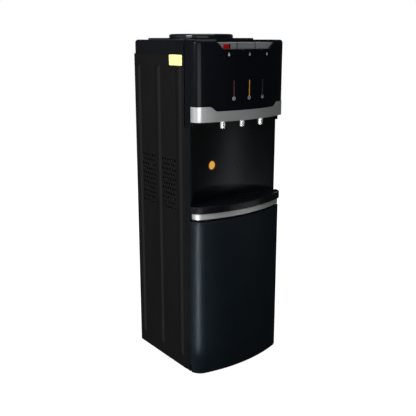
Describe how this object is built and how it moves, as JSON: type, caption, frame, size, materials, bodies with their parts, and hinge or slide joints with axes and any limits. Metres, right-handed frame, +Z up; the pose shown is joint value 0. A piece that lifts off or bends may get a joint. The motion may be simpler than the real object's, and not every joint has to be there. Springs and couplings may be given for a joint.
{
  "type": "floor-standing water dispenser",
  "caption": "Tall floor-standing top-loading water dispenser with a bowed gloss fascia, press keys, tap niche, lift-out drip tray and a hinged storage door.",
  "frame": {"origin": "centre of the bounding box at the floor, under the feet", "axes": "+Z up, the front with the taps and the door faces -Y, +X to the right of someone facing the back"},
  "size_m": [0.333, 0.3404, 0.976],
  "materials": {
    "painted_steel": "fine satin",
    "black_satin_plastic": "satin",
    "black_gloss_plastic": "high gloss",
    "door_plastic": "semi gloss",
    "tray_plastic": "gloss",
    "silver_trim": "brushed silver",
    "silver_strip": "brushed silver",
    "key_plastic": "satin",
    "red_plastic": "gloss",
    "hot_lens": "clear tint",
    "warm_lens": "clear tint",
    "cold_lens": "clear tint",
    "tap_chrome": "bright plated",
    "collar_plastic": "gloss",
    "white_plastic": "natural",
    "rubber": "matte",
    "silicone": "translucent",
    "stainless_steel": "drawn",
    "zinc_steel": "zinc plated",
    "foam": "expanded foam",
    "aluminium": "extruded",
    "ceramic": "ceramic",
    "circuit_board": "solder mask",
    "fan_plastic": "moulded",
    "rocker_plastic": "gloss",
    "magnet": "ferrite in a moulded case"
  },
  "bodies": {
    "cabinet": {"left_side_panel": "painted_steel", "right_side_panel": "painted_steel", "rear_panel": "painted_steel", "top_cover": "black_satin_plastic", "left_front_column": "black_satin_plastic", "right_front_column": "black_satin_plastic", "niche_panel": "black_satin_plastic", "base_pan": "black_satin_plastic", "tray_holder": "black_satin_plastic", "switch_bezels": "black_satin_plastic", "cord_gland": "black_satin_plastic", "fascia": "black_gloss_plastic", "fascia_trim": "silver_trim", "tray_trim": "silver_strip", "hot_led_lens": "hot_lens", "warm_led_lens": "warm_lens", "cold_led_lens": "cold_lens", "hot_tap_body": "tap_chrome", "warm_tap_body": "tap_chrome", "cold_tap_body": "tap_chrome", "cabinet_liner": "white_plastic", "feet": "rubber", "feed_tube": "silicone", "hot_tube": "silicone", "warm_tube": "silicone", "cold_tube": "silicone", "cold_tank": "stainless_steel", "hot_tank": "stainless_steel", "key_rod": "stainless_steel", "rear_screws": "stainless_steel", "drain_spout": "stainless_steel", "mid_deck": "zinc_steel", "tank_bracket": "zinc_steel", "hinge_brackets": "zinc_steel", "cold_tank_jacket": "foam", "cold_block": "aluminium", "heat_sink": "aluminium", "peltier_module": "ceramic", "display_board": "circuit_board", "power_board": "circuit_board", "fan_frame": "fan_plastic", "door_magnet": "magnet"},
    "door": {"door": "door_plastic", "door_liner": "black_satin_plastic", "door_hinge_pins": "stainless_steel"},
    "drip_tray": {"drip_tray": "tray_plastic"},
    "drip_grille": {"drip_grille": "black_satin_plastic"},
    "bottle_seat": {"bottle_collar": "collar_plastic", "neck_spike": "white_plastic"},
    "hot_button": {"hot_button": "key_plastic"},
    "child_lock": {"child_lock": "red_plastic"},
    "warm_button": {"warm_button": "key_plastic"},
    "cold_button": {"cold_button": "key_plastic"},
    "hot_push_rod": {"hot_push_rod": "white_plastic"},
    "warm_push_rod": {"warm_push_rod": "white_plastic"},
    "cold_push_rod": {"cold_push_rod": "white_plastic"},
    "fan_rotor": {"fan_rotor": "fan_plastic"},
    "heat_switch_rocker": {"heat_switch_rocker": "rocker_plastic"},
    "cool_switch_rocker": {"cool_switch_rocker": "rocker_plastic"},
    "drain_cap": {"drain_cap": "black_satin_plastic"}
  },
  "joints": [
    {"name": "door_hinge", "type": "hinge", "parent": "cabinet", "child": "door", "pos_m": [0.154, -0.12475, 0.2375], "axis": [0, 0, 1], "range_deg": [0, 105]},
    {"name": "drip_tray_lift", "type": "slide", "parent": "cabinet", "child": "drip_tray", "axis": [0, 0, 1], "range_m": [0, 0.06]},
    {"name": "drip_grille_lift", "type": "slide", "parent": "drip_tray", "child": "drip_grille", "axis": [0, 0, 1], "range_m": [0, 0.04]},
    {"name": "bottle_seat_lift", "type": "slide", "parent": "cabinet", "child": "bottle_seat", "axis": [0, 0, 1], "range_m": [0, 0.08]},
    {"name": "hot_button_press", "type": "hinge", "parent": "cabinet", "child": "hot_button", "pos_m": [-0.07, -0.09675, 0.9445], "axis": [1, 0, 0], "range_deg": [0, 5.5], "stiffness_Nm_per_rad": 2, "springref_deg": -2.86},
    {"name": "warm_button_press", "type": "hinge", "parent": "cabinet", "child": "warm_button", "pos_m": [0, -0.09675, 0.9445], "axis": [1, 0, 0], "range_deg": [0, 5.5], "stiffness_Nm_per_rad": 2, "springref_deg": -2.86},
    {"name": "cold_button_press", "type": "hinge", "parent": "cabinet", "child": "cold_button", "pos_m": [0.07, -0.09675, 0.9445], "axis": [1, 0, 0], "range_deg": [0, 5.5], "stiffness_Nm_per_rad": 2, "springref_deg": -2.86},
    {"name": "hot_push_rod_slide", "type": "slide", "parent": "cabinet", "child": "hot_push_rod", "axis": [0, 0, -1], "range_m": [0, 0.0043]},
    {"name": "warm_push_rod_slide", "type": "slide", "parent": "cabinet", "child": "warm_push_rod", "axis": [0, 0, -1], "range_m": [0, 0.0043]},
    {"name": "cold_push_rod_slide", "type": "slide", "parent": "cabinet", "child": "cold_push_rod", "axis": [0, 0, -1], "range_m": [0, 0.0043]},
    {"name": "child_lock_slide", "type": "slide", "parent": "hot_button", "child": "child_lock", "axis": [1, 0, 0], "range_m": [0, 0.006]},
    {"name": "fan_spin", "type": "hinge", "parent": "cabinet", "child": "fan_rotor", "pos_m": [0, 0.142, 0.776], "axis": [0, 1, 0], "continuous": true},
    {"name": "heat_switch_rock", "type": "hinge", "parent": "cabinet", "child": "heat_switch_rocker", "pos_m": [-0.07, 0.15225, 0.872], "axis": [1, 0, 0], "range_deg": [0, 16]},
    {"name": "cool_switch_rock", "type": "hinge", "parent": "cabinet", "child": "cool_switch_rocker", "pos_m": [-0.024, 0.15225, 0.872], "axis": [1, 0, 0], "range_deg": [0, 16]},
    {"name": "drain_cap_turn", "type": "hinge", "parent": "cabinet", "child": "drain_cap", "pos_m": [0.022, 0.163, 0.506], "axis": [0, 1, 0], "continuous": true}
  ],
  "couplings": [
    {"joint": "hot_push_rod_slide", "follows": "hot_button_press", "m_per_rad": 0.044},
    {"joint": "warm_push_rod_slide", "follows": "warm_button_press", "m_per_rad": 0.044},
    {"joint": "cold_push_rod_slide", "follows": "cold_button_press", "m_per_rad": 0.044}
  ]
}
